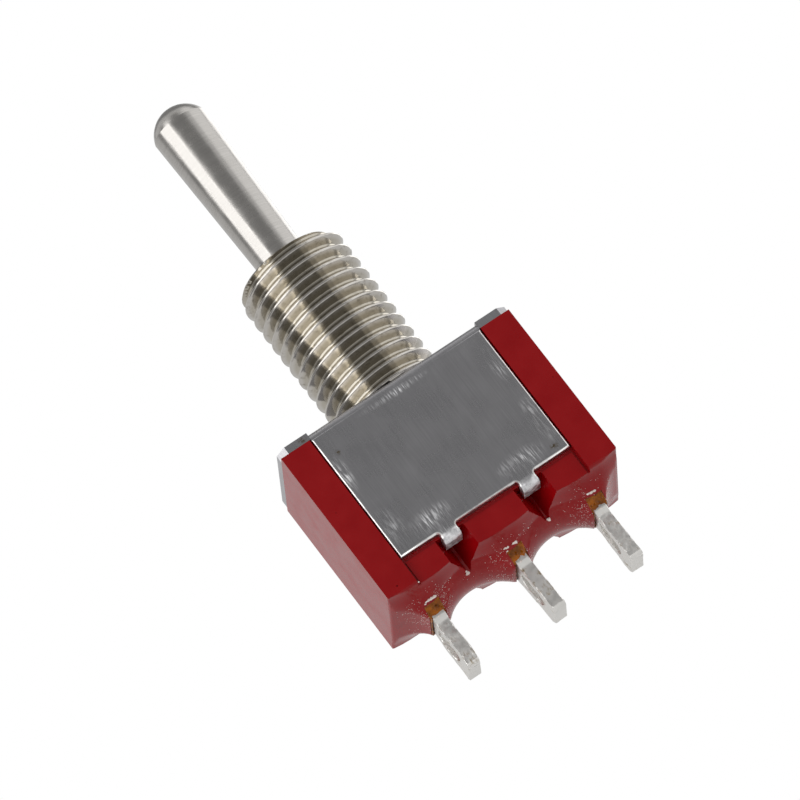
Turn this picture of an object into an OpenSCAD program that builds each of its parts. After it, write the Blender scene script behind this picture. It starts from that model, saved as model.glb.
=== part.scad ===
// Miniature three-position toggle switch, single pole, for a round panel hole.
// Millimetres, +Z along the threaded bushing, towards the lever's tip.
// X runs along the row of terminals and -Y is the front. The origin is on the
// bushing's axis, at the outer face of the folded frame, where the panel rests.

/* [Housing] */
// length of the moulded base along the row of terminals
base_l = 13.3; // [11:0.1:18]
// depth of the base, front to back
base_d = 6.4; // [6:0.1:9]
// height from the panel face to the flat underside of the base
base_h = 9.45; // [9.2:0.05:12]
// thickness of the end walls
end_wall = 1.05; // [0.8:0.05:1.5]
// thickness of the side walls behind the frame's plates
side_wall = 0.7; // [0.5:0.05:0.9]
// thickness of the floor under the fixed contacts, at the flat underside
floor_t = 2.25; // [2:0.05:3]
// how far the bosses round the terminals stand below the flat underside
boss_h = 1.3; // [0.8:0.05:1.8]
// radius of the hollowed sides of the bosses
hollow_r = 2.4; // [2:0.05:3]
// radius of the arch between two bosses, over the crest that joins them
arch_r = 2.5; // [2.2:0.05:2.8]
// how far the crest stands below the flat underside
crest_h = 0.56; // [0.3:0.02:0.8]
// rounding of the crest, from the front to the back
crest_r = 2.6; // [2:0.1:4]
// how far the pads under the plates stand out from the recess
pad_out = 0.1; // [0.05:0.01:0.2]
// gap between the pads and the end cheeks
pad_gap = 0.15; // [0.1:0.01:0.3]
// width of the pockets for the frame's tabs, at the mouth
pocket_w = 1.64; // [1.4:0.02:2]
// width of the pockets at their inner end
throat_w = 0.14; // [0.1:0.02:0.4]
// depth of the pockets behind the recess
pocket_d = 1.6; // [1.3:0.05:1.7]

/* [Frame] */
// thickness of the folded steel sheet
sheet_t = 0.4; // [0.3:0.05:0.5]
// width of the front and back plates
plate_w = 9.85; // [9:0.05:11]
// height of the plates below the panel face
plate_h = 7.92; // [7.5:0.02:8.2]
// outside radius of the folds at the top of the plates
fold_r = 0.55; // [0.45:0.05:0.8]
// gap between the folds and the eased top edges of the base
fold_gap = 0.02; // [0.01:0.01:0.05]
// width of the holding tabs
tab_w = 0.95; // [0.8:0.05:1.1]
// distance between the two tabs of a plate
tab_pitch = 4.55; // [4.2:0.05:4.8]
// outside radius of the tabs' folds
tab_r = 0.45; // [0.42:0.01:0.5]
// how far a tab reaches in from the outer face of its plate
tab_in = 1.05; // [0.9:0.05:1.2]
// radius in the corners at the root of a tab
tab_root_r = 0.15; // [0.1:0.01:0.2]
// cut across each corner of the top plate
corner_cut = 0.45; // [0.3:0.05:0.8]

/* [Bushing] */
// outside diameter over the thread
thread_d = 6; // [6:0.1:6.5]
// height of the bushing above the panel face
bushing_h = 8.9; // [8:0.1:9.2]
// height and width of the chamfer at the bushing's mouth
mouth_cut = 0.35; // [0.2:0.05:0.4]
// radius of the mouth, where the lever leans over
mouth_r = 2.45; // [2.4:0.01:2.5]
// outside radius of the spigot that passes through the frame
spigot_r = 2.45; // [2.4:0.01:2.5]
// radius and height of the swaged collar under the frame
collar_r = 2.62; // [2.55:0.01:2.7]
collar_h = 0.35; // [0.3:0.05:0.4]
// width and depth of the keyway at the back of the thread
key_w = 0.8; // [0.6:0.05:1]
key_d = 0.35; // [0.25:0.05:0.4]

/* [Lever] */
// height of the lever's pivot above the panel face
pivot_z = 3.6; // [3.5:0.05:3.7]
// radius of the lever's ball
ball_r = 2; // [1.95:0.01:2.02]
// height of the lever's tip above the panel face
lever_h = 19.2; // [17:0.1:22]
// radius of the lever at its shoulder, under the domed tip
tip_r = 1.5; // [1.3:0.05:1.7]
// height of the domed tip
dome_h = 1.1; // [0.8:0.05:1.4]
// radius of the lever at the mouth of the bushing
waist_r = 1.27; // [1.1:0.01:1.27]
// radius of the neck above the ball
neck_r = 1.1; // [1:0.01:1.12]
// radius of the shank below the ball
shank_r = 1.05; // [1:0.01:1.05]
// length of the shank below the pivot
shank_l = 6; // [5.5:0.1:6.2]
// tilt of the lever to each side
lever_tilt = 11.5; // [8:0.5:11.5]
// running gap round the ball and the pin
ball_gap = 0.05; // [0.03:0.01:0.08]
// radius of the cross pin
pin_r = 0.4; // [0.35:0.01:0.42]
// how far the cross pin stands out of the ball at each end
pin_out = 0.2; // [0.15:0.01:0.22]

/* [Plunger] */
// radius of the plunger's guide
plunger_r = 0.68; // [0.6:0.01:0.7]
// gap between the plunger and its bore
plunger_gap = 0.04; // [0.02:0.01:0.06]
// distance from the pivot to the end of the plunger's nose
plunger_reach = 7.7; // [7.6:0.05:7.8]
// radius of the plunger's nose
nose_r = 0.45; // [0.4:0.01:0.5]
// length of the plunger
plunger_l = 3.5; // [3.2:0.1:3.8]
// thickness of the spring's wire
wire_d = 0.2; // [0.16:0.02:0.24]
// number of turns in the spring
spring_turns = 7; // [5:1:9]

/* [Rocker] */
// height of the rocker's hinge above the floor inside the base
hinge_up = 2.3; // [2.2:0.02:2.4]
// thickness of the rocker's sheet
rocker_t = 0.3; // [0.25:0.01:0.32]
// width of the rocker across the row
rocker_w = 2.2; // [2:0.1:2.4]
// half the length of the rocker
rocker_half = 4.7; // [4.6:0.05:4.9]
// radius of the dish that the plunger rides in
dish_r = 3.3; // [3.25:0.05:3.5]
// half the length of the dish
dish_half = 1.75; // [1.6:0.05:1.8]
// gap between the plunger and the dish at rest
dish_gap = 0.05; // [0.03:0.01:0.1]
// height of the rocker's arms above its hinge, at their undersides
arm_up = -0.4; // [-0.42:0.01:-0.36]
// radius of the round nibs that the rocker turns on
nib_r = 0.2; // [0.18:0.01:0.22]
// gap round the nibs in their notches
nib_gap = 0.05; // [0.03:0.01:0.08]
// radius and thickness of the rocker's contacts
button_r = 0.6; // [0.5:0.05:0.65]
button_t = 0.3; // [0.28:0.01:0.32]
// distance of the contacts from the middle
button_x = 4; // [3.9:0.05:4.05]

/* [Terminals] */
// distance between neighbouring terminals
pitch = 4.73; // [4.5:0.01:4.9]
// thickness of the terminals along the row
blade_t = 0.7; // [0.6:0.02:0.8]
// width of the terminals across the row
blade_w = 1.9; // [1.8:0.05:2]
// length of the terminals below the flat underside
blade_l = 4.2; // [3.5:0.1:6]
// radius of the solder hole's round ends, and its length between them
hole_r = 0.45; // [0.35:0.05:0.5]
hole_l = 0.9; // [0.6:0.1:1.2]
// distance from the terminal's end to the nearer round's centre
hole_up = 1.35; // [1.1:0.05:1.6]
// cut at the front and back edges of a terminal's end
end_cut = 0.18; // [0.1:0.02:0.3]
// how far an end terminal's foot reaches past the inner face of its blade
foot_l = 1.08; // [1:0.02:1.2]
// outside radius of the foot's fold
foot_r = 0.5; // [0.3:0.05:0.6]
// thickness of the fixed contacts
stud_t = 0.33; // [0.3:0.01:0.34]
// gap between a terminal and its slot
slot_gap = 0.03; // [0.02:0.01:0.05]
// lean of the middle terminal below the floor, towards the right
common_lean = 2.3; // [0:0.1:3]
// size of the sealing pockets along and across the row
seal_w = 0.9; // [0.86:0.02:1.1]
seal_l = 3.1; // [2.8:0.1:3.4]
// depth of the sealing pockets above the bosses' ends
seal_d = 1.75; // [1.5:0.05:1.9]
// how far the sealant lies below the edge of its pocket
seal_sink = 0.08; // [0.04:0.02:0.14]

/* [Saddle] */
// thickness of the saddle's sheet
saddle_t = 0.3; // [0.25:0.01:0.32]
// half the length of the saddle along the row
saddle_half = 0.6; // [0.5:0.05:0.7]
// gap between the saddle's ears and the rocker
ear_gap = 0.1; // [0.08:0.01:0.15]
// height of the ears above the hinge
ear_up = 0.35; // [0.3:0.05:0.4]
// height of the saddle's seat above the floor inside the base
seat_up = 1.2; // [1.1:0.02:1.3]
// size of the staked tenon across the row, and its height above the saddle
tenon_w = 1; // [0.8:0.1:1.2]
tenon_up = 0.05; // [0.02:0.01:0.1]

/* [Hidden] */

$fn = 64;
eps = 0.01;
far = 40;
bore_r = ball_r + ball_gap;
inner_y = base_d / 2 - sheet_t;
cavity_y = inner_y - side_wall;
cavity_x = base_l / 2 - end_wall;
floor_z = -base_h + floor_t;
foot_top = floor_z + blade_t;
stud_top = foot_top + stud_t;
hinge_z = floor_z + hinge_up;
nose_z = pivot_z - plunger_reach;
plunger_top = nose_z + plunger_l;
spring_top = pivot_z - pin_r - 0.6;
shank_z = pivot_z - shank_l;
spring_bore_r = plunger_r + plunger_gap;
boss_z = -base_h - boss_h;
blade_end = -base_h - blade_l;
tab_mid_z = -plate_h - tab_root_r;
tab_low_z = tab_mid_z - tab_r;
pocket_top = tab_mid_z;
arm_z = hinge_z + arm_up;
dish_bottom = nose_z - dish_gap;
dish_mid = dish_bottom + dish_r;
seat_z = floor_z + seat_up;
bend_h = 0.03;
red = [0.49, 0.07, 0.08];
steel = [0.55, 0.55, 0.57];
nickel = [0.72, 0.69, 0.62];
silver = [0.75, 0.74, 0.72];
brass = [0.78, 0.62, 0.32];
amber = [0.48, 0.29, 0.08];
nylon = [0.9, 0.89, 0.84];

// A bar along Y with the given outline in X and Z, centred on the row.
module across(w) {
    rotate([90, 0, 0]) linear_extrude(w, center = true) children();
}

// A bar along X with the given outline in Y and Z.
module along(l) {
    rotate([90, 0, 90]) linear_extrude(l, center = true) children();
}

// A block from its two opposite corners.
module block(a, b) {
    translate(a) cube(b - a);
}

// Copies at the front and at the back.
module both_sides() {
    for (side = [0, 1]) mirror([0, side, 0]) children();
}

// Copies at the left and at the right.
module both_ends() {
    for (end = [0, 1]) mirror([end, 0, 0]) children();
}

// Turned about the floor by the middle terminal's lean, if it is the middle one.
module leaning(x) {
    translate([x, 0, floor_z]) rotate([0, x == 0 ? -common_lean : 0, 0])
        translate([0, 0, -floor_z]) children();
}

// The underside of the base round the terminals: one long rib, hollowed from the
// front, the back, both ends and between the terminals, so three bosses are left.
module bosses(top_z) {
    reach_y = base_d / 2;
    end_x = base_l / 2;
    difference() {
        block([-end_x, -reach_y, boss_z], [end_x, reach_y, top_z]);
        both_sides() translate([0, -reach_y, -base_h - hollow_r])
            along(far) circle(hollow_r);
        both_ends() {
            translate([-pitch / 2, 0, -base_h - crest_h - arch_r]) arch();
            translate([-end_x - 0.35, 0, -base_h - hollow_r * 0.85])
                across(far) circle(hollow_r * 0.85);
        }
    }
}

// The hollow between two bosses: narrowest over the crest, wider to both sides.
module arch() {
    rotate([90, 0, 0])
        rotate_extrude()
            difference() {
                translate([0, -far / 2]) square([arch_r + crest_h - eps, far]);
                translate([arch_r + crest_r, 0]) circle(crest_r);
            }
}

// A pocket for one of the frame's tabs, narrowing inwards.
module tab_pocket() {
    mouth = pocket_w / 2;
    throat = throat_w / 2;
    throat_y = inner_y - pocket_d;
    translate([0, 0, boss_z - 1])
        linear_extrude(pocket_top - boss_z + 1)
            polygon([[-mouth, -base_d], [mouth, -base_d], [mouth, -inner_y],
                [throat, -throat_y], [-throat, -throat_y], [-mouth, -inner_y]]);
}

// The recess that a plate of the frame lies in, with the lower pads left standing.
module plate_recess() {
    half = plate_w / 2 + pad_gap / 2;
    pad_top = -plate_h - 0.23;
    pad_half = half - pad_gap;
    relief = fold_r - sheet_t + fold_gap;
    block([-half, -base_d, pad_top], [half, -inner_y, 1]);
    along(2 * half) polygon([[-inner_y - eps, -sheet_t + eps],
        [-inner_y + relief + eps, -sheet_t + eps],
        [-inner_y - eps, -sheet_t - relief - eps]]);
    block([-half, -base_d, boss_z - 1], [half, -inner_y - pad_out, pad_top + eps]);
    both_ends()
        block([pad_half, -base_d, boss_z - 1], [half, -inner_y, pad_top + eps]);
}

module base() {
    color(red) difference() {
        union() {
            block([-base_l / 2, -base_d / 2, -base_h], [base_l / 2, base_d / 2, -sheet_t]);
            bosses(-base_h + eps);
        }
        block([-cavity_x, -cavity_y, floor_z], [cavity_x, cavity_y, 1]);
        translate([0, 0, -sheet_t - collar_h - 0.1]) cylinder(r = collar_r + 0.03, h = far);
        both_sides() {
            plate_recess();
            for (k = [-1, 1]) translate([k * tab_pitch / 2, 0, 0]) tab_pocket();
        }
        for (k = [-1, 0, 1]) {
            leaning(k * pitch) {
                block([-blade_t / 2 - slot_gap, -blade_w / 2 - slot_gap, boss_z - 1],
                    [blade_t / 2 + slot_gap, blade_w / 2 + slot_gap, floor_z + bend_h]);
                block([-seal_w / 2, -seal_l / 2, boss_z - 1],
                    [seal_w / 2, seal_l / 2, boss_z + seal_d]);
            }
            translate([k * pitch, 0, 0])
                block([-blade_t / 2 - slot_gap, -blade_w / 2 - slot_gap, floor_z - 2 * bend_h],
                    [blade_t / 2 + slot_gap, blade_w / 2 + slot_gap, 0]);
        }
    }
}

// The folded section of the frame at its top and sides, in Y and Z.
module fold_outline() {
    out = base_d / 2;
    low = out - fold_r;
    difference() {
        union() {
            translate([-low, -sheet_t]) square([2 * low, sheet_t]);
            for (k = [-1, 1]) translate([k * low, -fold_r]) intersection() {
                circle(fold_r);
                translate([k > 0 ? 0 : -fold_r, 0]) square(fold_r);
            }
            for (k = [-1, 1]) translate([k > 0 ? out - sheet_t : -out, -plate_h])
                square([sheet_t, plate_h - fold_r]);
        }
        for (k = [-1, 1]) translate([k * low, -fold_r]) circle(fold_r - sheet_t);
    }
}

// A holding tab: the two root corners, the fold and the leaf that turns inwards.
module tab() {
    out = base_d / 2;
    translate([0, -out + sheet_t / 2, 0]) across(sheet_t) difference() {
        translate([-tab_w / 2 - tab_root_r, tab_mid_z])
            square([tab_w + 2 * tab_root_r, tab_root_r + eps]);
        for (k = [-1, 1])
            translate([k * (tab_w / 2 + tab_root_r), tab_mid_z]) circle(tab_root_r);
    }
    along(tab_w) {
        translate([-out + tab_r, tab_mid_z]) difference() {
            intersection() {
                circle(tab_r);
                translate([-tab_r, -tab_r]) square(tab_r);
            }
            circle(tab_r - sheet_t);
        }
        translate([-out + tab_r, tab_low_z]) square([tab_in - tab_r, sheet_t]);
    }
}

module frame() {
    hx = base_l / 2;
    hy = base_d / 2;
    color(steel) difference() {
        union() {
            along(plate_w) fold_outline();
            for (k = [0, 1]) mirror([k, 0, 0]) translate([0, 0, -sheet_t])
                linear_extrude(sheet_t)
                    polygon([[plate_w / 2 - eps, -hy], [hx - corner_cut, -hy],
                        [hx, -hy + corner_cut], [hx, hy - corner_cut],
                        [hx - corner_cut, hy], [plate_w / 2 - eps, hy]]);
            both_sides() for (k = [-1, 1]) translate([k * tab_pitch / 2, 0, 0]) tab();
        }
        translate([0, 0, -1]) cylinder(r = spigot_r, h = 2);
    }
}

module bushing() {
    throat_r = 1.5;
    throat_z = pivot_z + sqrt(pow(bore_r, 2) - pow(throat_r, 2));
    low_z = -sheet_t - collar_h;
    slot_x = pin_r + ball_gap;
    slot_y = bore_r + pin_out;
    top_r = thread_d / 2;
    color(nickel) difference() {
        union() {
            translate([0, 0, low_z]) cylinder(r = collar_r, h = collar_h);
            translate([0, 0, low_z]) cylinder(r = spigot_r, h = -low_z + eps);
            cylinder(r = top_r, h = bushing_h - mouth_cut);
            translate([0, 0, bushing_h - mouth_cut])
                cylinder(r1 = top_r, r2 = top_r - mouth_cut, h = mouth_cut);
        }
        translate([0, 0, low_z - 1]) cylinder(r = bore_r, h = pivot_z - low_z + 1);
        translate([0, 0, pivot_z]) sphere(bore_r);
        translate([0, 0, throat_z - 0.1]) cylinder(r = throat_r, h = 0.1 + eps);
        translate([0, 0, throat_z])
            cylinder(r1 = throat_r, r2 = mouth_r, h = bushing_h - throat_z);
        translate([0, 0, bushing_h - eps]) cylinder(r = mouth_r, h = 1);
        along_pin(slot_x, slot_y);
        block([-slot_x, -slot_y, low_z - 1], [slot_x, slot_y, pivot_z]);
        block([-key_w / 2, thread_d / 2 - key_d, eps], [key_w / 2, thread_d, bushing_h + 1]);
    }
}

// A round bar across the lever at its pivot.
module along_pin(r, half) {
    translate([0, 0, pivot_z]) across(2 * half) circle(r);
}

module lever() {
    dome_r = (pow(tip_r, 2) + pow(dome_h, 2)) / (2 * dome_h);
    neck_z = pivot_z + sqrt(pow(ball_r, 2) - pow(neck_r, 2));
    color(nickel) difference() {
        union() {
            translate([0, 0, pivot_z]) sphere(ball_r);
            translate([0, 0, neck_z - 0.3]) cylinder(r = neck_r, h = 0.3 + eps);
            translate([0, 0, neck_z])
                cylinder(r1 = neck_r, r2 = waist_r, h = bushing_h - neck_z + eps);
            translate([0, 0, bushing_h])
                cylinder(r1 = waist_r, r2 = tip_r, h = lever_h - dome_h - bushing_h);
            intersection() {
                translate([0, 0, lever_h - dome_r]) sphere(dome_r);
                translate([0, 0, lever_h - dome_h - eps]) cylinder(r = tip_r, h = far);
            }
            translate([0, 0, shank_z]) cylinder(r = shank_r, h = shank_l);
        }
        translate([0, 0, shank_z - 1]) cylinder(r = spring_bore_r, h = spring_top - shank_z + 1);
        along_pin(pin_r, far);
    }
}

module pivot_pin() {
    color(steel) along_pin(pin_r, ball_r + pin_out);
}

// One round of the spring's wire at a share of its length, as points.
function ring(share, r, rise) = [
    for (k = [0 : 5]) let(a = 360 * spring_turns * share, b = 60 * k,
        w = r + wire_d / 2 * cos(b))
        [w * cos(a), w * sin(a), rise * share + wire_d / 2 * sin(b)]];

module spring() {
    r = plunger_r - wire_d / 2 - 0.02;
    low = plunger_top + wire_d / 2 + 0.02;
    rise = spring_top - plunger_top - wire_d - 0.04;
    steps = spring_turns * 16;
    rings = [for (i = [0 : steps]) each ring(i / steps, r, rise)];
    sides = [for (i = [0 : steps - 1], k = [0 : 5])
        let(a = 6 * i + k, b = 6 * i + (k + 1) % 6) [a, a + 6, b + 6, b]];
    ends = [[for (k = [0 : 5]) k], [for (k = [5 : -1 : 0]) 6 * steps + k]];
    color(steel) translate([0, 0, low]) polyhedron(rings, concat(sides, ends), 4);
}

module plunger() {
    cone_h = 0.5;
    shoulder = nose_z + 1;
    color(nylon) {
        translate([0, 0, nose_z + nose_r]) sphere(nose_r);
        translate([0, 0, nose_z + nose_r]) cylinder(r = nose_r, h = 1 - nose_r - cone_h / 2);
        translate([0, 0, shoulder - cone_h / 2])
            cylinder(r1 = nose_r, r2 = plunger_r, h = cone_h);
        translate([0, 0, shoulder + cone_h / 2])
            cylinder(r = plunger_r, h = plunger_top - shoulder - cone_h / 2);
    }
}

// The rocker seen from the front: the dish in the middle and one arm each side.
module rocker_outline() {
    edge_in = dish_mid - sqrt(pow(dish_r, 2) - pow(dish_half, 2));
    edge_out = dish_mid - sqrt(pow(dish_r + rocker_t, 2) - pow(dish_half, 2));
    top = arm_z + rocker_t;
    translate([0, dish_mid]) intersection() {
        difference() {
            circle(dish_r + rocker_t, $fn = 160);
            circle(dish_r, $fn = 160);
        }
        translate([-dish_half, -2 * dish_r]) square([2 * dish_half, 2 * dish_r]);
    }
    for (k = [0, 1]) mirror([k, 0])
        polygon([[dish_half - eps, edge_out], [dish_half - eps, edge_in],
            [dish_half + 0.3, edge_in], [dish_half + 1.6, top], [rocker_half, top],
            [rocker_half, arm_z], [dish_half + 1.45, arm_z],
            [dish_half + 0.17, edge_out]]);
}

module rocker() {
    flange_low = hinge_z - 0.25;
    flange_top = dish_bottom - rocker_t / 2;
    half = rocker_w / 2;
    color(brass) {
        across(rocker_w) rocker_outline();
        both_sides() block([-0.45, -half, flange_low], [0.45, -half + rocker_t, flange_top]);
        translate([0, 0, hinge_z]) both_sides()
            translate([0, -half - nib_len() / 2 + eps, 0])
                across(nib_len() + 2 * eps) circle(nib_r);
    }
}

// How far a nib stands out of the rocker's side.
function nib_len() = ear_gap + saddle_t + 0.05;

module rocker_contact_left() {
    color(silver) translate([-button_x, 0, arm_z - button_t])
        cylinder(r = button_r, h = button_t);
}

module rocker_contact_right() {
    mirror([1, 0, 0]) rocker_contact_left();
}

module saddle() {
    in = rocker_w / 2 + ear_gap;
    top = hinge_z + ear_up;
    notch = nib_r + nib_gap;
    color(brass) difference() {
        union() {
            block([-saddle_half, -in - saddle_t, seat_z],
                [saddle_half, in + saddle_t, seat_z + saddle_t]);
            both_sides() block([-saddle_half, -in - saddle_t, seat_z],
                [saddle_half, -in, top]);
        }
        translate([0, 0, hinge_z]) across(far) circle(notch);
        block([-notch, -far, hinge_z], [notch, far, far]);
        block([-blade_t / 2, -tenon_w / 2, seat_z - 1], [blade_t / 2, tenon_w / 2, seat_z + 1]);
    }
}

// The part of a terminal that shows: the blade with its solder hole and cut end.
module blade(top_z) {
    low = blade_end + hole_up;
    difference() {
        along(blade_t) polygon([[-blade_w / 2 + end_cut, blade_end],
            [blade_w / 2 - end_cut, blade_end], [blade_w / 2, blade_end + end_cut],
            [blade_w / 2, top_z], [-blade_w / 2, top_z], [-blade_w / 2, blade_end + end_cut]]);
        along(far) {
            translate([0, low]) circle(hole_r);
            translate([0, low + hole_l]) circle(hole_r);
            translate([-hole_r, low]) square([2 * hole_r, hole_l]);
        }
    }
}

// The middle terminal is upright over the floor and leans a little below it.
module terminal_common() {
    color(silver) {
        block([-blade_t / 2, -blade_w / 2, floor_z - bend_h],
            [blade_t / 2, blade_w / 2, seat_z]);
        block([-blade_t / 2, -tenon_w / 2, seat_z - eps],
            [blade_t / 2, tenon_w / 2, seat_z + saddle_t + tenon_up]);
        leaning(0) blade(floor_z);
    }
}

module terminal_left() {
    color(silver) difference() {
        translate([-pitch, 0, 0]) {
            blade(foot_top);
            block([-blade_t / 2, -blade_w / 2, floor_z],
                [blade_t / 2 + foot_l, blade_w / 2, foot_top]);
        }
        translate([-pitch - blade_t / 2, 0, foot_top]) across(far) difference() {
            translate([-eps, -foot_r]) square([foot_r + eps, foot_r + eps]);
            translate([foot_r, -foot_r]) circle(foot_r);
        }
    }
}

module terminal_right() {
    mirror([1, 0, 0]) terminal_left();
}

module fixed_contact_left() {
    color(silver) translate([-button_x, 0, foot_top])
        cylinder(r = button_r, h = stud_t);
}

module fixed_contact_right() {
    mirror([1, 0, 0]) fixed_contact_left();
}

// The sealant that fills a pocket round a terminal, a little below its edge.
module seal(x) {
    color(amber) difference() {
        intersection() {
            leaning(x) block([-seal_w / 2, -seal_l / 2, boss_z - 1],
                [seal_w / 2, seal_l / 2, boss_z + seal_d]);
            translate([0, 0, seal_sink]) bosses(boss_z + seal_d + 1);
        }
        leaning(x) block([-blade_t / 2, -blade_w / 2, boss_z - 2],
            [blade_t / 2, blade_w / 2, floor_z]);
    }
}

module seal_left() {
    seal(-pitch);
}

module seal_common() {
    seal(0);
}

module seal_right() {
    seal(pitch);
}

base();
frame();
bushing();
lever();
pivot_pin();
spring();
plunger();
rocker();
rocker_contact_left();
rocker_contact_right();
saddle();
terminal_common();
terminal_left();
terminal_right();
fixed_contact_left();
fixed_contact_right();
seal_left();
seal_common();
seal_right();
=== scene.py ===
import math
import bmesh
import bpy
from mathutils import Matrix, Vector, noise


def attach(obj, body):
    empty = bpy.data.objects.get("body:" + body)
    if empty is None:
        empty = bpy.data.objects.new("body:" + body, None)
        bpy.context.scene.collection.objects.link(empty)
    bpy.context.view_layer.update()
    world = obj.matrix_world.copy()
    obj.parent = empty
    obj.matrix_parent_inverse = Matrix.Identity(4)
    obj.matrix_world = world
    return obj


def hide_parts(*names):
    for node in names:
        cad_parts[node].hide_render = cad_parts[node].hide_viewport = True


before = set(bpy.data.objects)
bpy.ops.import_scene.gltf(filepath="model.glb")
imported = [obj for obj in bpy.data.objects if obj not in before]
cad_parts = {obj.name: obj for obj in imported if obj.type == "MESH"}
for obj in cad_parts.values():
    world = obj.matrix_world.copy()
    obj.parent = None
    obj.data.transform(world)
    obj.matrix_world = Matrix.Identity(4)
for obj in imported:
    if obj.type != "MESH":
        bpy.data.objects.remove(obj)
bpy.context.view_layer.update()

# ---- Studio ----
# A pale floor under the terminals, a white surround, two soft boxes and five
# cards. The floor is seen only from above, so the underside stays in view.


def linear(hex_colour):
    """An sRGB hex colour as linear red, green, blue and alpha."""
    parts = [int(hex_colour[k:k + 2], 16) / 255 for k in (1, 3, 5)]
    return tuple(
        p / 12.92 if p <= 0.04045 else ((p + 0.055) / 1.055) ** 2.4 for p in parts
    ) + (1.0,)


def add(tree, kind, inputs=(), **settings):
    """Adds a node. Each input is given a value, or a socket to link from."""
    known = kind.startswith(("Geometry", "Function"))
    made = tree.nodes.new(kind if known else "ShaderNode" + kind)
    for name, value in settings.items():
        setattr(made, name, value)
    for key, value in dict(inputs).items():
        if isinstance(value, bpy.types.NodeSocket):
            tree.links.new(value, made.inputs[key])
        else:
            made.inputs[key].default_value = value
    return made


def blank_material(name):
    """A material with an empty tree."""
    made = bpy.data.materials.new(name)
    made.use_nodes = True
    made.node_tree.nodes.clear()
    return made


def placed(name, data):
    """A new object in the scene."""
    made = bpy.data.objects.new(name, data)
    bpy.context.scene.collection.objects.link(made)
    return made


# strength of the white surround as the pieces see it; the camera sees pure white
FILL = 0.70

world = bpy.data.worlds.new("white_surround")
bpy.context.scene.world = world
world.use_nodes = True
world.node_tree.nodes.clear()
path = add(world.node_tree, "LightPath")
seen = add(world.node_tree, "Math", {
    0: path.outputs["Is Camera Ray"], 1: path.outputs["Is Transmission Ray"],
}, operation="MAXIMUM")
level = add(world.node_tree, "MapRange", {
    "Value": seen.outputs[0], "To Min": FILL, "To Max": 1.0,
})
surround = add(world.node_tree, "Background", {
    "Color": linear("#ffffff"), "Strength": level.outputs[0],
})
add(world.node_tree, "OutputWorld", {"Surface": surround.outputs[0]})

# height and half size of the floor, in metres
FLOOR_Z = -0.0138
FLOOR_REACH = 1.5

floor_paint = blank_material("pale_floor_paint")
tree = floor_paint.node_tree
side = add(tree, "NewGeometry")
path = add(tree, "LightPath")
from_above = add(tree, "Math", {
    0: path.outputs["Is Camera Ray"], 1: side.outputs["Backfacing"],
}, operation="GREATER_THAN")
paint = add(tree, "BsdfDiffuse", {"Color": linear("#f6f6f5")})
clear = add(tree, "BsdfTransparent")
both = add(tree, "MixShader", {
    0: from_above.outputs[0], 1: clear.outputs[0], 2: paint.outputs[0],
})
add(tree, "OutputMaterial", {"Surface": both.outputs[0]})
floor_mesh = bpy.data.meshes.new("floor")
floor_mesh.from_pydata(
    [(x * FLOOR_REACH, y * FLOOR_REACH, FLOOR_Z)
     for x, y in ((-1, -1), (1, -1), (1, 1), (-1, 1))], [], [(0, 1, 2, 3)])
floor_mesh.materials.append(floor_paint)
placed("floor", floor_mesh)


def soft_lamp(name, place, size, watts):
    """A square soft box that faces the switch, in metres and watts."""
    data = bpy.data.lights.new(name, "AREA")
    data.size = size
    data.energy = watts
    lamp = placed(name, data)
    lamp.location = place
    lamp.rotation_euler = (-Vector(place)).to_track_quat("-Z", "Y").to_euler()


soft_lamp("key", (-0.52, -0.32, 0.24), 0.50, 1.6)
soft_lamp("edge", (0.48, 0.43, 0.16), 0.44, 0.75)

# how bright each kind of card is, and how far off they all stand, in metres
GREY_CARD = 0.29
WHITE_CARD = 1.9
PALE_CARD = 1.15
CARD_DISTANCE = 0.35


def upright_card(name, level, bearing, width, low, high):
    """A card that only shows in polished metal. Angles in degrees."""
    paper = blank_material(name + "_paper")
    glow = add(paper.node_tree, "Emission", {"Strength": level})
    add(paper.node_tree, "OutputMaterial", {"Surface": glow.outputs[0]})
    ends = [math.radians(bearing + turn) for turn in (-width / 2, width / 2)]
    corners = [
        (CARD_DISTANCE * math.cos(end), CARD_DISTANCE * math.sin(end),
         CARD_DISTANCE * math.tan(math.radians(height)))
        for height in (low, high) for end in ends]
    mesh = bpy.data.meshes.new(name)
    mesh.from_pydata(corners, [], [(0, 1, 3, 2)])
    mesh.materials.append(paper)
    card = placed(name, mesh)
    for rays in ("camera", "diffuse", "shadow", "transmission"):
        setattr(card, "visible_" + rays, False)


upright_card("front_card", GREY_CARD, -86, 62, -8, 76)
upright_card("left_card", GREY_CARD, 173, 24, -20, 62)
upright_card("top_card", GREY_CARD, 70, 90, 34, 80)
upright_card("white_card", WHITE_CARD, -149, 34, -55, 66)
upright_card("right_card", PALE_CARD, -14, 54, -50, 62)

camera_data = bpy.data.cameras.new("camera")
camera_data.sensor_width = 36
camera_data.lens = 451.4
camera = placed("camera", camera_data)
# its right, up and back as columns, then its place in metres
camera.matrix_world = Matrix((
    (0.81879, 0.53848, -0.19905, -0.09575),
    (0.03850, -0.39744, -0.91682, -0.44288),
    (-0.57280, 0.74302, -0.34615, -0.16723),
    (0, 0, 0, 1),
))
bpy.context.scene.camera = camera
bpy.context.scene.view_settings.view_transform = "Standard"

# ---- Base ----
# The housing, moulded in red thermoset, glossy where the mould was polished
# and dull underneath, with dust left by the sealing.


def object_coords(tree):
    """The point on the piece, in metres, in the piece's own frame."""
    return add(tree, "TexCoord").outputs["Object"]


MM = 0.001
# points of a CAD mesh nearer than this are one point
SAME_POINT = 0.0002 * MM
# in degrees: faces that turn less are one flat, and edges that turn more are sharp
FLAT_ANGLE = 0.6
SHARP_ANGLE = 30


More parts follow.
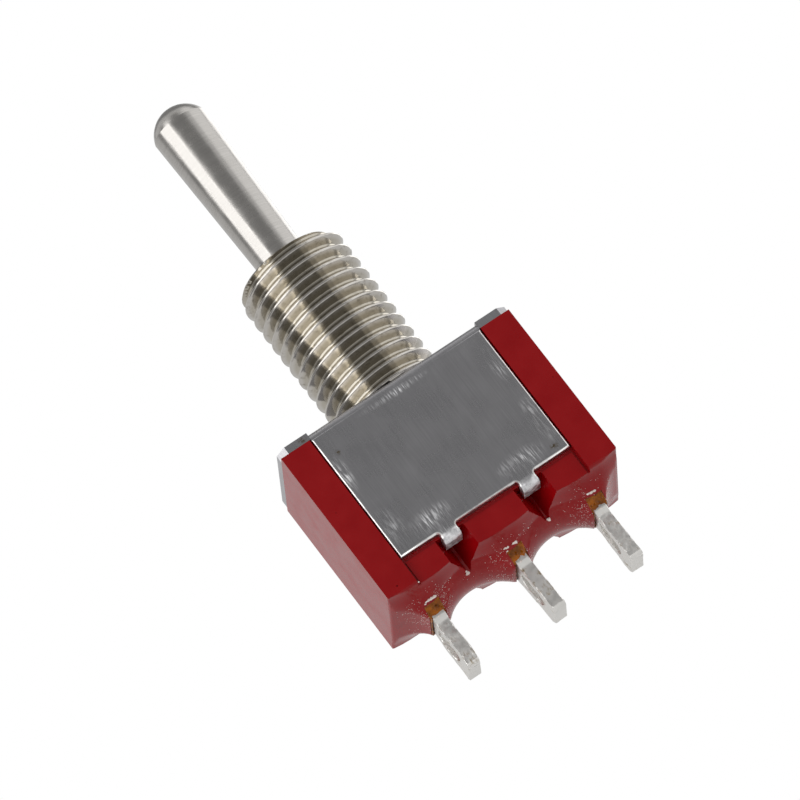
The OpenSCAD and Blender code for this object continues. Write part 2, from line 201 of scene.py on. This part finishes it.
def eased_copy(node, name, radius=0, joined=True):
    """A merged copy of a CAD node, its flats rejoined and sharp edges eased."""
    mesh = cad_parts[node].data.copy()
    mesh.name = name
    mesh.materials.clear()
    shape = bmesh.new()
    shape.from_mesh(mesh)
    bmesh.ops.remove_doubles(shape, verts=shape.verts, dist=SAME_POINT)
    if joined:
        bmesh.ops.dissolve_limit(
            shape, angle_limit=math.radians(FLAT_ANGLE), verts=shape.verts,
            edges=shape.edges)
    if radius:
        sharp = [e for e in shape.edges
                 if len(e.link_faces) == 2 and e.is_convex
                 and e.calc_face_angle(0) > math.radians(SHARP_ANGLE)]
        bmesh.ops.bevel(
            shape, geom=sharp, offset=radius, segments=2, profile=0.5,
            affect="EDGES", clamp_overlap=True)
    shape.to_mesh(mesh)
    shape.free()
    return mesh


def evaluated(mesh, name, kind, **settings):
    """The mesh after one modifier."""
    subject = placed(name, mesh)
    step = subject.modifiers.new("step", kind)
    for key, value in settings.items():
        setattr(step, key, value)
    graph = bpy.context.evaluated_depsgraph_get()
    result = bpy.data.meshes.new_from_object(subject.evaluated_get(graph))
    result.name = name
    bpy.data.objects.remove(subject)
    return result


def kept_inside(mesh, tool_mesh, name):
    """The part of a mesh that lies inside a closed tool."""
    tool = placed(name + "_tool", tool_mesh)
    result = evaluated(
        mesh, name, "BOOLEAN", operation="INTERSECT", solver="EXACT", object=tool)
    bpy.data.objects.remove(tool)
    return result


def finished(mesh, name, smooth_angle=32):
    """A piece whose shading follows its large faces, smooth up to an angle."""
    mesh.shade_smooth()
    mesh.set_sharp_from_angle(angle=math.radians(smooth_angle))
    mesh = evaluated(
        mesh, name, "WEIGHTED_NORMAL", keep_sharp=True, mode="FACE_AREA", weight=50)
    return placed(name, mesh)


def dress(piece, material, slot, *nodes, body="housing"):
    """Gives a piece its material and body, and hides the nodes it stands for. The slot
    is not used.
    """
    piece.data.materials.clear()
    piece.data.materials.append(material)
    if nodes:
        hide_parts(*nodes)
    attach(piece, body)


def product(tree, first, second):
    """Two factors multiplied."""
    return add(tree, "Math", {0: first, 1: second}, operation="MULTIPLY").outputs[0]


def tone(tree, factor, dark, light):
    """A colour between two, given as sockets or as hex colours."""
    colours = [c if isinstance(c, bpy.types.NodeSocket) else linear(c)
               for c in (dark, light)]
    return add(tree, "Mix", {
        "Factor": factor, 6: colours[0], 7: colours[1],
    }, data_type="RGBA").outputs[2]


def ramp(tree, value, low, high, to_low=0.0, to_high=1.0):
    """A value spread over a range and clamped to it."""
    return add(tree, "MapRange", {
        "Value": value, "From Min": low, "From Max": high, "To Min": to_low,
        "To Max": to_high,
    }).outputs[0]


# keeps flat faces off the planes where the noise is even
NOISE_SHIFT = (0.37, 0.61, 0.83)


def noise_at(tree, at, grain_mm, detail=3.0, stretch=(1, 1, 1)):
    """Noise whose cells measure about the given size, drawn out along an axis."""
    spread = add(tree, "Mapping", {
        "Vector": at, "Location": NOISE_SHIFT,
        "Scale": [k / (grain_mm * MM) for k in stretch],
    })
    return add(tree, "TexNoise", {
        "Vector": spread.outputs[0], "Scale": 1.0, "Detail": detail,
    }).outputs[0]


def principled(tree, inputs):
    """Ends a material in one principled shader."""
    shade = add(tree, "BsdfPrincipled", inputs)
    add(tree, "OutputMaterial", {"Surface": shade.outputs[0]})


# Moulded thermoset: IOR 1.5, cloudy patches of 1.1 mm, a grain of 0.08 mm, and a
# pale film of dust on the hollows underneath.
red_thermoset = blank_material("moulded_red_thermoset")
tree = red_thermoset.node_tree
at = object_coords(tree)
height = add(tree, "SeparateXYZ", {0: at}).outputs["Z"]
cloud = noise_at(tree, at, 1.1, 4.0)
grain = noise_at(tree, at, 0.08, 2.0)
low_down = ramp(tree, height, -9.42 * MM, -9.75 * MM)
film = product(tree, low_down, ramp(tree, noise_at(tree, at, 0.35, 5.0), 0.40, 0.68))
film = product(tree, film, ramp(tree, grain, 0.35, 0.65, 0.0, 0.08))
tint = tone(tree, cloud, "#800309", "#95060b")
tint = tone(tree, film, tint, "#b98f88")
pits = add(tree, "Bump", {"Height": grain, "Strength": 0.22, "Distance": 0.004 * MM})
principled(tree, {
    "Base Color": tint, "Roughness": ramp(tree, cloud, 0.3, 0.7, 0.16, 0.26),
    "Normal": pits.outputs[0], "IOR": 1.5, "Specular IOR Level": 0.25,
})

# sizes of the underside, in mm: its flat and the foot of its bosses, then half
# the base and half of its pads under the plates
FLAT_Z = -9.45
BOSS_Z = -10.75
HALF_L = 6.65
HALF_D = 3.2
PAD_HALF_L = 4.95
PAD_HALF_D = 3.1
PITCH = 4.73
# hollows along the front and back, arches between two bosses with their crests,
# and hollows outside the last bosses
HOLLOW_R = 2.4
ARCH_R = 2.5
CREST_H = 0.56
CREST_R = 2.6
END_R = 2.04
END_X = 7.0
EDGE_R = 0.17
# how far the hollows, the foot of a boss and an eased edge run into the next
BLEND = 0.55
BOSS_BLEND = 0.12
EDGE_BLEND = 0.04
# how far the surface lies inside the CAD's
INSET = 0.012
# spacing of the points that follow it, and half of what they cover
GRID = 0.07
GRID_HALF_L = 6.93
GRID_HALF_D = 3.43


def clamped(value, low=0.0, high=1.0):
    """A value kept between two others."""
    return max(low, min(high, value))


def softly(first, second, width):
    """The larger of two heights, run into each other over a width."""
    share = clamped(0.5 + 0.5 * (first - second) / width)
    return second + (first - second) * share + width * share * (1 - share)


def hollow(offset, centre_z, radius):
    """Height of a round hollow, at an offset from its axis."""
    return centre_z + math.sqrt(max(0.0, radius ** 2 - offset ** 2))


def underside(x, y):
    """Height of the underside, with its hollows and edges run together."""
    x, y = min(abs(x), HALF_L), min(abs(y), HALF_D)
    arch_r = ARCH_R + CREST_R - math.sqrt(CREST_R ** 2 - min(y, CREST_R) ** 2)
    arch_r = min(arch_r, ARCH_R + CREST_H - 0.01)
    z = softly(
        hollow(HALF_D - y, FLAT_Z - HOLLOW_R, HOLLOW_R),
        hollow(x - PITCH / 2, FLAT_Z - CREST_H - ARCH_R, arch_r), BLEND)
    z = softly(z, hollow(x - END_X, FLAT_Z - END_R, END_R), BLEND)
    z = softly(z, BOSS_Z, BOSS_BLEND)
    front = HALF_D if x > PAD_HALF_L else PAD_HALF_D
    for past_edge in (y - front + EDGE_R, x - HALF_L + EDGE_R):
        lift = EDGE_R - math.sqrt(max(0.0, EDGE_R ** 2 - max(0.0, past_edge) ** 2))
        z = softly(z, FLAT_Z + lift, EDGE_BLEND) if past_edge > 0 else z
    return z + INSET


def as_mesh(shape, name):
    """The shape that was built, as a mesh."""
    mesh = bpy.data.meshes.new(name)
    shape.to_mesh(mesh)
    shape.free()
    return mesh


def open_edges(shape):
    """The edges that have a face on one side only."""
    return [e for e in shape.edges if len(e.link_faces) == 1]


def closed_mesh(shape, name):
    """The shape that was built, with its open ends filled, as a mesh."""
    bmesh.ops.holes_fill(shape, edges=open_edges(shape), sides=0)
    bmesh.ops.recalc_face_normals(shape, faces=shape.faces)
    return as_mesh(shape, name)


def over_underside(name):
    """A block whose bottom is the underside, to trim the base with."""
    across, along = [
        [k * GRID - half for k in range(round(2 * half / GRID) + 1)]
        for half in (GRID_HALF_L, GRID_HALF_D)]
    shape = bmesh.new()
    low = [[shape.verts.new((x * MM, y * MM, underside(x, y) * MM)) for y in along]
           for x in across]
    for left, right in zip(low, low[1:]):
        for k in range(len(along) - 1):
            shape.faces.new((left[k], left[k + 1], right[k + 1], right[k]))
    walls = bmesh.ops.extrude_edge_only(shape, edges=open_edges(shape))["geom"]
    for item in walls:
        if isinstance(item, bmesh.types.BMVert):
            item.co.z = 1.0 * MM
    return closed_mesh(shape, name)


MOULD_EDGE_R = 0.13 * MM
trimmed = kept_inside(
    eased_copy("base", "moulded_base", MOULD_EDGE_R), over_underside("underside"),
    "moulded_base")
base = finished(trimmed, "moulded_base")
dress(base, red_thermoset, "housing_plastic", "base")

# ---- Flux ----
# Flux and dust, caught on the hollows when the terminals were sealed: fine specks that
# lie thickest round the bosses, and coarser crumbs by the seals. The white lumps at the
# two pocket apexes are painted glints.

# near white, so that the lumps at the pocket apexes also serve as painted glints
pale_flux_and_glint = blank_material("dried_flux_and_glint")
tree = pale_flux_and_glint.node_tree
principled(tree, {
    "Base Color": tone(
        tree, noise_at(tree, object_coords(tree), 0.2), "#d8c8c0", "#f6f1ec"),
    "Roughness": 0.6,
})


def speck_tree():
    """Nodes that strew small grains over what faces down."""
    tree = bpy.data.node_groups.new("strewn_specks", "GeometryNodeTree")
    for label, way, kind, value in (
            ("Geometry", "INPUT", "NodeSocketGeometry", None),
            ("Specks per mm2", "INPUT", "NodeSocketFloat", 150.0),
            ("Least size mm", "INPUT", "NodeSocketFloat", 0.006),
            ("Largest size mm", "INPUT", "NodeSocketFloat", 0.020),
            ("Seed", "INPUT", "NodeSocketInt", 4),
            ("Geometry", "OUTPUT", "NodeSocketGeometry", None)):
        socket = tree.interface.new_socket(label, in_out=way, socket_type=kind)
        if value is not None:
            socket.default_value = value
    given = tree.nodes.new("NodeGroupInput").outputs
    # the share of the full density: low on the base, facing down, away from its
    # front and back, near a boss, and in patches of about 1 mm
    place = add(tree, "SeparateXYZ", {
        0: add(tree, "GeometryNodeInputPosition").outputs[0]}).outputs
    facing = add(tree, "SeparateXYZ", {
        0: add(tree, "GeometryNodeInputNormal").outputs[0]}).outputs
    low = ramp(tree, place["Z"], -9.44 * MM, -10.1 * MM)
    down = ramp(tree, facing["Z"], -0.25, -0.5)
    off_x, off_y = (
        add(tree, "Math", {0: place[axis]}, operation="ABSOLUTE").outputs[0]
        for axis in "XY")
    inner = ramp(tree, off_y, 2.7 * MM, 1.6 * MM)
    from_boss = add(tree, "Math", {
        0: off_x, 1: PITCH / 2 * MM}, operation="PINGPONG").outputs[0]
    inner = product(tree, inner, ramp(tree, from_boss, 1.7 * MM, 0.7 * MM, 0.12, 1.0))
    patchy = add(tree, "TexNoise", {"Scale": 1100.0, "Detail": 3.0}).outputs[0]
    patchy = ramp(tree, patchy, 0.42, 0.62)
    where = product(tree, product(tree, low, down), product(tree, inner, patchy))
    density = add(tree, "Math", {
        0: given["Specks per mm2"], 1: 1 / MM ** 2}, operation="MULTIPLY").outputs[0]
    points = add(tree, "GeometryNodeDistributePointsOnFaces", {
        "Mesh": given["Geometry"], "Density": product(tree, density, where),
        "Seed": given["Seed"],
    })
    grain = add(tree, "GeometryNodeMeshIcoSphere", {"Radius": MM, "Subdivisions": 1})
    size = add(tree, "FunctionNodeRandomValue", {
        2: given["Least size mm"], 3: given["Largest size mm"], "Seed": given["Seed"]})
    grains = add(tree, "GeometryNodeInstanceOnPoints", {
        "Points": points.outputs["Points"], "Instance": grain.outputs["Mesh"],
        "Rotation": points.outputs["Rotation"], "Scale": size.outputs[1],
    })
    real = add(tree, "GeometryNodeRealizeInstances", {0: grains.outputs[0]})
    painted = add(tree, "GeometryNodeSetMaterial", {
        "Geometry": real.outputs[0], "Material": pale_flux_and_glint})
    out = tree.nodes.new("NodeGroupOutput")
    tree.links.new(painted.outputs[0], out.inputs[0])
    return tree


specks = placed("flux_specks", evaluated(
    base.data.copy(), "flux_specks", "NODES", node_group=speck_tree()))
dress(specks, pale_flux_and_glint, "housing_plastic")

# x, y, z and radius of the coarser crumbs, in mm; one with no z lies on the hollows,
# smaller by a share, drawn out along the base and sunk in a little. The first three, at
# the pocket apexes, are painted glints.
CRUMBS_AND_GLINTS = (
    (-2.40, -1.24, -9.76, 0.12), (2.33, -1.26, -9.76, 0.12),
    (-2.42, -1.30, -9.66, 0.06), (-4.94, -1.70, None, 0.08),
    (-4.82, -1.71, None, 0.11), (-4.68, -1.71, None, 0.13),
    (-4.52, -1.70, None, 0.13), (-5.04, -1.64, None, 0.06),
    (-4.76, -1.08, None, 0.09), (-0.34, -1.72, None, 0.08),
    (-0.22, -1.71, None, 0.10), (0.12, -1.73, None, 0.09),
    (0.24, -1.70, None, 0.12), (-0.30, -1.55, None, 0.06),
    (0.02, -1.08, None, 0.07), (4.50, -1.72, None, 0.09),
    (4.66, -1.71, None, 0.11), (4.84, -1.70, None, 0.10),
    (4.70, -1.08, None, 0.08), (-1.10, -1.50, None, 0.04),
    (-3.30, -1.60, None, 0.04), (1.20, -1.60, None, 0.04),
    (-5.92, -3.19, -9.02, 0.05), (-4.95, -3.10, -9.42, 0.05),
    (-6.12, -3.19, -4.24, 0.04), (6.32, -3.19, -4.54, 0.04),
)
LYING_SHARE = 0.75
LYING_DRAW = 1.7
LYING_SINK = 0.1


def lumps(name, places, seed):
    """Small uneven lumps at given places."""
    shape = bmesh.new()
    for x, y, z, r in places:
        draw = 1.0
        if z is None:
            r *= LYING_SHARE
            draw = LYING_DRAW
            z = underside(x, y) - LYING_SINK * r
        made = bmesh.ops.create_icosphere(
            shape, subdivisions=2, radius=r * MM, matrix=Matrix.Translation(
                (x * MM, y * MM, z * MM)))
        for vert in made["verts"]:
            away = vert.co - Vector((x, y, z)) * MM
            spot = away / (r * MM) * 1.3 + Vector((x, z, seed))
            swell = 0.75 + 0.55 * noise.noise(spot)
            vert.co -= away * (1 - swell)
            vert.co.x = x * MM + (vert.co.x - x * MM) * draw
            vert.co.y = max(vert.co.y, -HALF_D * MM)
    return as_mesh(shape, name)


crumbs_and_glints = finished(lumps("flux_crumbs_and_glints", CRUMBS_AND_GLINTS, 3), "flux_crumbs_and_glints", 20)
dress(crumbs_and_glints, pale_flux_and_glint, "housing_plastic")

# ---- Frame ----
# Stainless sheet, punched, brushed along its height and folded over the base, with its
# tabs bent in underneath. The punched edges are bare metal, tinted near white as a
# painted edge highlight.


def near(tree, at, centre_mm, reach_mm):
    """1 round a place, out to a quarter of the reach, and 0 beyond the reach."""
    offset = add(tree, "VectorMath", {
        0: at, 1: [c * MM for c in centre_mm],
    }, operation="SUBTRACT")
    ratio = add(tree, "VectorMath", {
        0: offset.outputs[0], 1: [1 / (r * MM) for r in reach_mm],
    }, operation="MULTIPLY")
    away = add(tree, "VectorMath", {0: ratio.outputs[0]}, operation="LENGTH")
    return ramp(tree, away.outputs["Value"], 0.25, 1.0, 1.0, 0.0)


def strongest(tree, sockets):
    """The largest of several factors."""
    top = sockets[0]
    for socket in sockets[1:]:
        top = add(tree, "Math", {0: top, 1: socket}, operation="MAXIMUM").outputs[0]
    return top


# centre and reach of the rubbed patches, x and z in mm, on both plates at PLATE_Y
RUBBED = (
    (-2.6, -7.15, 1.5, 0.75), (2.6, -7.2, 1.5, 0.7), (-4.4, -6.5, 0.7, 1.4),
    (4.5, -5.9, 0.6, 1.5), (4.5, -2.4, 0.4, 1.2), (-4.6, -2.8, 0.35, 1.3),
    (-0.4, -0.75, 2.2, 0.25), (-2.27, -8.3, 0.8, 0.8), (2.27, -8.3, 0.8, 0.8),
)
PLATE_Y = 3.1
# centre and reach of the brown stains, in mm
STAINS = (
    ((-5.28, -3.1, -0.19), (0.30, 0.4, 0.25)),
    ((-4.24, -3.2, -1.71), (0.16, 0.3, 0.2)),
    ((4.29, -3.2, -7.50), (0.28, 0.3, 0.2)),
)

# Stainless sheet: fine strokes 0.05 mm apart along the height, cloudy patches of 1.6
# mm, rougher and paler strokes where it was rubbed, and cut edges of bare metal with a
# painted highlight.
brushed_steel = blank_material("brushed_stainless_sheet")
tree = brushed_steel.node_tree
at = object_coords(tree)
strokes = noise_at(tree, at, 0.05, 3.0, (1, 1, 0.03))
cloud = noise_at(tree, at, 1.6, 4.0)
scores = noise_at(tree, at, 0.075, 2.0, (1, 1, 0.10))
rubbed = strongest(tree, [
    near(tree, at, (x, y, z), (rx, 0.8, rz))
    for x, z, rx, rz in RUBBED for y in (-PLATE_Y, PLATE_Y)])
worn = product(tree, rubbed, ramp(tree, scores, 0.46, 0.61))
worn = product(tree, worn, ramp(tree, cloud, 0.35, 0.55, 0.3, 1.0))
height = add(tree, "SeparateXYZ", {0: at}).outputs["Z"]
on_tabs = product(
    tree, ramp(tree, height, -7.97 * MM, -8.15 * MM),
    ramp(tree, noise_at(tree, at, 0.22, 4.0), 0.38, 0.62, 0.25, 0.95))
worn = strongest(tree, [worn, on_tabs])
stain = strongest(tree, [near(tree, at, *place) for place in STAINS])
stain = product(tree, stain, ramp(tree, noise_at(tree, at, 0.12), 0.4, 0.6))
tint = tone(tree, strokes, "#a2a1a4", "#bdbcbe")
tint = tone(tree, worn, tint, "#f1f1f2")
tint = tone(tree, stain, tint, "#6d5c3c")
# the rounded cut edges, tinted near white: bare metal with a painted highlight
bright = product(
    tree, add(tree, "Attribute", attribute_name="burnish_and_highlight").outputs["Fac"],
    ramp(tree, noise_at(tree, at, 0.5, 4.0), 0.30, 0.52, 0.25, 1.0))
tint = tone(tree, bright, tint, "#f7f7f5")
gloss = ramp(tree, cloud, 0.3, 0.7, 0.24, 0.34)
rough = add(tree, "Math", {
    0: worn, 1: 0.30, 2: gloss,
}, operation="MULTIPLY_ADD").outputs[0]
lines = add(tree, "Bump", {"Height": strokes, "Strength": 0.25, "Distance": 0.002 * MM})
principled(tree, {
    "Base Color": tint, "Roughness": rough, "Normal": lines.outputs[0],
    "Metallic": 1.0,
})

# the outer edges of the plates and tabs lie further out and lower than this,
# turn more than this in degrees, and bound a face that looks squarely enough to
# the front or back
OUTER_Y = 3.15 * MM
OUTER_Z = -0.5 * MM
PUNCHED_ANGLE = 60
SQUARELY = 0.9


def eased_outline(mesh, width):
    """Rounds the outer edges of the plates and tabs, as the punch leaves them, and
    marks the rounds for a painted highlight.
    """
    shape = bmesh.new()
    shape.from_mesh(mesh)
    burnish_and_highlight = shape.faces.layers.float.new("burnish_and_highlight")
    outer = []
    for edge in shape.edges:
        if (len(edge.link_faces) != 2
                or edge.calc_face_angle(0) < math.radians(PUNCHED_ANGLE)):
            continue
        out = max(abs(face.normal.y) for face in edge.link_faces)
        middle = (edge.verts[0].co + edge.verts[1].co) / 2
        if out > SQUARELY and abs(middle.y) > OUTER_Y and middle.z < OUTER_Z:
            outer.append(edge)
    rounded = bmesh.ops.bevel(
        shape, geom=outer, offset=width, segments=2, profile=0.5, affect="EDGES",
        clamp_overlap=False)
    for face in rounded["faces"]:
        face[burnish_and_highlight] = 1.0
    shape.to_mesh(mesh)
    shape.free()
    return mesh


sheet = finished(
    eased_outline(eased_copy("frame", "folded_frame"), 0.10 * MM), "folded_frame")
dress(sheet, brushed_steel, "frame_steel", "frame")

# ---- Bushing ----
# Turned from brass, with a single right-handed thread of 6 mm by 0.75 mm cut
# down to the frame, bright nickel plated. The keyway is at the back.

THREAD_PITCH = 0.75 * MM
THREAD_R = 2.985 * MM
THREAD_DEPTH = 0.44 * MM
CREST_Z = 1.016 * MM
THREAD_SIDES = 128
# below the frame the sleeve widens, to leave the collar whole
SKIRT_Z = -0.12 * MM
SKIRT_FADE = 0.15 * MM
SKIRT_OUT = 1.0 * MM
# share of a turn along the axis, and share of the thread's depth there
THREAD_FORM = (
    (0.00, 0.0), (0.05, 0.0), (0.075, 0.04), (0.10, 0.12), (0.38, 0.90),
    (0.41, 0.97), (0.45, 1.0), (0.55, 1.0), (0.59, 0.97), (0.62, 0.90),
    (0.90, 0.12), (0.925, 0.04), (0.95, 0.0),
)


def threaded_sleeve(name, low_turn, turns):
    """A closed solid whose side is the thread, with rows along the helix."""
    rows = len(THREAD_FORM)
    last = turns * rows
    shape = bmesh.new()
    grid = {}
    for row in range(last + 1):
        share, depth = THREAD_FORM[row % rows]
        for k in range(THREAD_SIDES):
            angle = 2 * math.pi * k / THREAD_SIDES
            turn = low_turn + row // rows + share + k / THREAD_SIDES
            z = CREST_Z + THREAD_PITCH * turn
            r = THREAD_R - THREAD_DEPTH * depth
            r += SKIRT_OUT * clamped((SKIRT_Z - z) / SKIRT_FADE)
            grid[row, k] = shape.verts.new(
                (r * math.cos(angle), r * math.sin(angle), z))

    def corner(row, k):
        """A point of the grid, where a full circle ends one turn further on."""
        return grid.get((row + rows, 0) if k == THREAD_SIDES else (row, k))

    for row in range(last):
        for k in range(THREAD_SIDES):
            quad = [corner(row, k), corner(row, k + 1), corner(row + 1, k + 1),
                    corner(row + 1, k)]
            if all(quad):
                shape.faces.new(quad)
    return closed_mesh(shape, name)


# Nickel plate on turned brass: a warm white metal, bright, with faint marks that run
# round with the thread, and darker towards the roots of the thread: painted shade, with
# some dirt.
nickel_plate = blank_material("bright_nickel_plate")
tree = nickel_plate.node_tree
at = object_coords(tree)
marks = noise_at(tree, at, 0.4, 4.0)
chatter = noise_at(tree, at, 0.07, 3.0, (0.25, 0.25, 1))
out_xy = add(tree, "VectorMath", {0: at, 1: (1.0, 1.0, 0.0)}, operation="MULTIPLY")
radius = add(tree, "VectorMath", {0: out_xy.outputs[0]}, operation="LENGTH")
# painted shade with some dirt: the tint darkens from 2.90 mm in to 2.74 mm, towards the
# thread's roots
groove_shade_and_dirt = ramp(tree, radius.outputs["Value"], 2.90 * MM, 2.74 * MM)
smear = product(tree, ramp(tree, marks, 0.50, 0.75), ramp(tree, chatter, 0.4, 0.65))
ripple = add(tree, "Bump", {"Height": chatter, "Strength": 0.7, "Distance": 0.004 * MM})
principled(tree, {
    "Base Color": tone(
        tree, smear, tone(tree, groove_shade_and_dirt, "#c4c0ba", "#b3ada1"), "#8c8578"),
    "Roughness": ramp(tree, marks, 0.3, 0.7, 0.07, 0.14),
    "Normal": ripple.outputs[0], "Metallic": 1.0,
})

threaded = kept_inside(
    eased_copy("bushing", "threaded_bushing", joined=False),
    threaded_sleeve("sleeve", -4, 17), "threaded_bushing")
bushing = finished(threaded, "threaded_bushing")
dress(bushing, nickel_plate, "bushing_nickel", "bushing")

# ---- Lever ----
# Turned brass, nickel plated: a ball in the bushing, a tapered handle with a
# domed end above it, and a drilled shank below. The turning marks run round it.

turned_nickel = blank_material("turned_nickel_plate")
tree = turned_nickel.node_tree
at = object_coords(tree)
rings = noise_at(tree, at, 0.06, 2.0, (0.03, 0.03, 1))
smut = noise_at(tree, at, 0.7, 4.0)
tool_marks = add(tree, "Bump", {
    "Height": rings, "Strength": 0.28, "Distance": 0.003 * MM})
principled(tree, {
    "Base Color": tone(tree, rings, "#aca9a5", "#c3c0bc"),
    "Roughness": ramp(tree, smut, 0.3, 0.7, 0.20, 0.30),
    "Normal": tool_marks.outputs[0], "Metallic": 1.0,
})

lever = finished(eased_copy("lever", "turned_lever"), "turned_lever")
dress(lever, turned_nickel, "lever_nickel", "lever", body="lever")

# ---- Terminals ----
# Three blades punched from brass strip and tinned. The punch leaves soft edges
# and dents in the faces, and handling leaves a blade a little wavy.

dull_tin = blank_material("dull_tin_plate")
tree = dull_tin.node_tree
at = object_coords(tree)
spots = noise_at(tree, at, 0.45, 5.0)
scuffs = noise_at(tree, at, 0.12, 3.0, (1, 1, 0.35))
browned = product(tree, ramp(tree, spots, 0.56, 0.72), ramp(tree, scuffs, 0.4, 0.6))
tint = tone(tree, spots, "#dad8d4", "#edebe7")
tint = tone(tree, browned, tint, "#9a8a6c")
dents = add(tree, "Bump", {"Height": scuffs, "Strength": 0.35, "Distance": 0.006 * MM})
principled(tree, {
    "Base Color": tint, "Roughness": ramp(tree, spots, 0.3, 0.7, 0.34, 0.52),
    "Normal": dents.outputs[0], "Metallic": 1.0,
})

# where the seal lets go of a blade and where its tip begins to round off, and the
# plane it narrows in front of, in mm
ROOT_Z = -10.96
TIP_Z = -13.54
FRONT_Y = -0.6
# the dents grow to their full depth from the root over this height, and are
# weaker on the faces that don't look to the front
ROOT_FADE = 0.25
BACK_SHARE = 0.4


def remeshed(node, name, grain_mm):
    """A copy of a CAD node, rebuilt from small even faces."""
    return evaluated(
        eased_copy(node, name, joined=False), name, "REMESH", mode="VOXEL",
        voxel_size=grain_mm * MM, adaptivity=0.0)


def with_normals(mesh):
    """The vertices, with the normals they have before any of them moves."""
    return list(zip(mesh.vertices, [vert.normal.copy() for vert in mesh.vertices]))


def worn_blade(name, node, dent, wave, seed):
    """A blade with soft edges, dents in its faces and a nicked root and tip."""
    mesh = evaluated(
        remeshed(node, name, 0.05), name, "SMOOTH", factor=0.5, iterations=2)
    for vert, normal in with_normals(mesh):
        x, y, z = vert.co / MM
        spot = Vector((x * 3.0, y * 2.2, z * 2.4 + seed))
        sink = dent * (0.5 + 0.5 * noise.noise(spot * 1.6))
        sink += dent * 0.5 * max(0.0, noise.noise(spot * 4.5))
        sink *= clamped((ROOT_Z + 0.1 - z) / ROOT_FADE)
        sink *= 1.0 if normal.y < -0.5 else BACK_SHARE
        moved = vert.co - normal * sink * MM
        moved.x += wave * noise.noise(Vector((seed, z * 0.9, y * 0.5))) * MM
        if y < FRONT_Y:
            root = clamped(z - ROOT_Z, 0.0, 0.3)
            tip = max(0.0, TIP_Z - z)
            moved.y += (0.9 * tip - 0.45 * root) * MM
        vert.co = moved
    return mesh


# side, depth of the dents and of the waves in mm, and seed
for place, dent, wave, seed in (
        ("left", 0.06, 0.07, 2.0), ("common", 0.02, 0.02, 5.0),
        ("right", 0.055, 0.06, 9.0)):
    name = "blade_" + place
    blade = finished(worn_blade(name, "terminal_" + place, dent, wave, seed), name, 40)
    dress(blade, dull_tin, "terminal_tin", "terminal_" + place)

# ---- Seals ----
# Amber epoxy, cast round each terminal to keep flux out: glossy, uneven in
# colour, and sunk unevenly below the base, with small craters.

amber_epoxy = blank_material("cast_amber_epoxy")
tree = amber_epoxy.node_tree
at = object_coords(tree)
depth = noise_at(tree, at, 0.45, 4.0)
principled(tree, {
    "Base Color": tone(tree, ramp(tree, depth, 0.3, 0.7), "#4a2202", "#b0620a"),
    "Roughness": 0.16, "IOR": 1.55, "Specular IOR Level": 0.2, "Subsurface Weight": 0.2,
    "Subsurface Radius": (0.6 * MM, 0.3 * MM, 0.1 * MM),
})


# only the skin below this height, in mm, shows and is uneven
SKIN_Z = -9.5


def cast_seal(name, node, seed):
    """The resin with a skin that sank unevenly and left small craters."""
    mesh = remeshed(node, name, 0.04)
    for vert, normal in with_normals(mesh):
        x, y, z = vert.co / MM
        if z < SKIN_Z:
            low = noise.noise(Vector((x * 2.6 + seed, y * 2.6, z * 2.6)))
            fine = max(0.0, noise.noise(Vector((x * 9 + seed, y * 9, z * 9))) - 0.15)
            sink = 0.05 + 0.05 * low + 0.16 * fine
            vert.co -= normal * sink * (1 - abs(normal.x)) * MM
    return mesh


for place, seed in (("left", 1.0), ("common", 6.0), ("right", 11.0)):
    name = "resin_" + place
    resin = finished(cast_seal(name, "seal_" + place, seed), name, 50)
    dress(resin, amber_epoxy, "seal_epoxy", "seal_" + place)

# ---- Mechanism ----
# What moves inside: a steel cross pin and spring, a nylon plunger, and a brass
# rocker with silver contacts on a brass saddle.


def plain_finish(name, dark, light, roughness, metallic, grain_mm):
    """A finish with a fine change of tone and gloss of the given grain."""
    made = blank_material(name)
    tree = made.node_tree
    speck = add(tree, "TexNoise", {
        "Vector": object_coords(tree), "Scale": 1 / (grain_mm * MM), "Detail": 3.0,
    }).outputs[0]
    principled(tree, {
        "Base Color": tone(tree, speck, dark, light),
        "Roughness": ramp(tree, speck, 0.0, 1.0, roughness * 0.8, roughness * 1.2),
        "Metallic": metallic,
    })
    return made


for finish, names in (
        (plain_finish("ground_steel", "#8c8c8e", "#a6a6a8", 0.25, 1.0, 0.2),
         ("pivot_pin",)),
        (plain_finish("drawn_spring_wire", "#6f6f73", "#8b8b8f", 0.3, 1.0, 0.1),
         ("spring",)),
        (plain_finish("natural_nylon", "#ddd9cb", "#e8e5da", 0.5, 0.0, 0.4),
         ("plunger",)),
        (plain_finish("stamped_brass", "#b08d46", "#cda75c", 0.3, 1.0, 0.3),
         ("rocker", "saddle")),
        (plain_finish("silver_alloy", "#b9b7b2", "#d2d0cc", 0.25, 1.0, 0.2),
         ("rocker_contact_left", "rocker_contact_right",
          "fixed_contact_left", "fixed_contact_right"))):
    for name in names:
        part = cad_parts[name]
        part.data.materials.clear()
        part.data.materials.append(finish)
